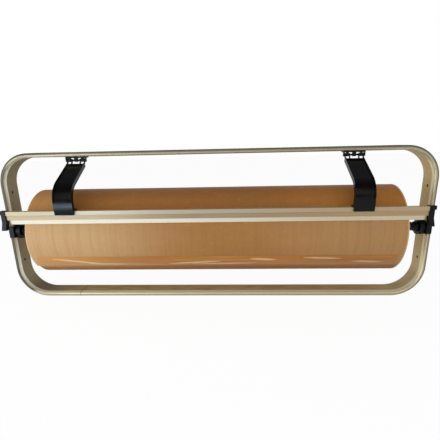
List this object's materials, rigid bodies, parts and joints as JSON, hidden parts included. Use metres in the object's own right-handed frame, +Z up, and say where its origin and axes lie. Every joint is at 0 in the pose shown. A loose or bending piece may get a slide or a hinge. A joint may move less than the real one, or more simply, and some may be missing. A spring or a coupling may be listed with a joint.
{
  "type": "gift wrap paper cutter",
  "caption": "Bent tube frame that holds a wrapping paper roll on an axle, with a cutter rail on hinged arms resting on the roll.",
  "frame": {"origin": "middle of the bottom bar's underside, half-way through the tube's depth", "axes": "+X along the roll towards the right end as seen from the front, +Y from the front to the back, +Z up"},
  "size_m": [0.61, 0.1259, 0.216],
  "materials": {
    "frame_metal": "satin anodised, warm grey",
    "plug_metal": "mill finish",
    "screw_steel": "zinc plated",
    "bracket_plastic": "black, fine moulded grain",
    "clip_plastic": "black, moulded",
    "pin_steel": "blackened",
    "arm_plastic": "black, semi-gloss",
    "rail_metal": "satin anodised section",
    "blade_steel": "ground strip",
    "cap_plastic": "black, moulded",
    "bush_plastic": "black, turned look",
    "axle_steel": "drawn rod, zinc plated",
    "clip_steel": "spring steel, phosphated",
    "plug_plastic": "black, moulded",
    "thumb_metal": "nickel plated, knurled",
    "core_board": "spiral-wound grey-brown board",
    "kraft_paper": "brown kraft paper, machine glazed, wound",
    "tape_film": "clear film tape, slightly yellow"
  },
  "bodies": {
    "frame": {"frame_tube": "frame_metal", "splice_plug": "plug_metal", "splice_screws": "screw_steel", "bearing_bracket_left": "bracket_plastic", "bearing_bracket_right": "bracket_plastic", "bracket_screws": "screw_steel", "hinge_clip_left": "clip_plastic", "hinge_clip_right": "clip_plastic", "hinge_clip_screws": "screw_steel", "hinge_pin_left": "pin_steel", "hinge_pin_right": "pin_steel"},
    "cutter": {"cutter_arm_left": "arm_plastic", "cutter_arm_right": "arm_plastic", "arm_screws": "screw_steel", "cutter_rail": "rail_metal", "cutter_blade": "blade_steel", "rail_cap_left": "cap_plastic", "rail_cap_right": "cap_plastic"},
    "bushes": {"axle_bush_left": "bush_plastic", "axle_bush_right": "bush_plastic"},
    "roll": {"axle_rod": "axle_steel", "axle_clips": "clip_steel", "core_plug_left": "plug_plastic", "core_plug_right": "plug_plastic", "thumb_screws": "thumb_metal", "core_tube": "core_board", "paper_roll": "kraft_paper", "closing_tape": "tape_film"}
  },
  "joints": [
    {"name": "cutter_hinge", "type": "hinge", "parent": "frame", "child": "cutter", "pos_m": [0, -0.0133, 0.205], "axis": [-1, 0, 0], "range_deg": [0, 90]},
    {"name": "roll_lift", "type": "slide", "parent": "frame", "child": "bushes", "axis": [0, 0.7071, 0.7071], "range_m": [0, 0.02]},
    {"name": "roll_spin", "type": "hinge", "parent": "bushes", "child": "roll", "pos_m": [0, -0.0038, 0.1032], "axis": [1, 0, 0], "continuous": true}
  ]
}
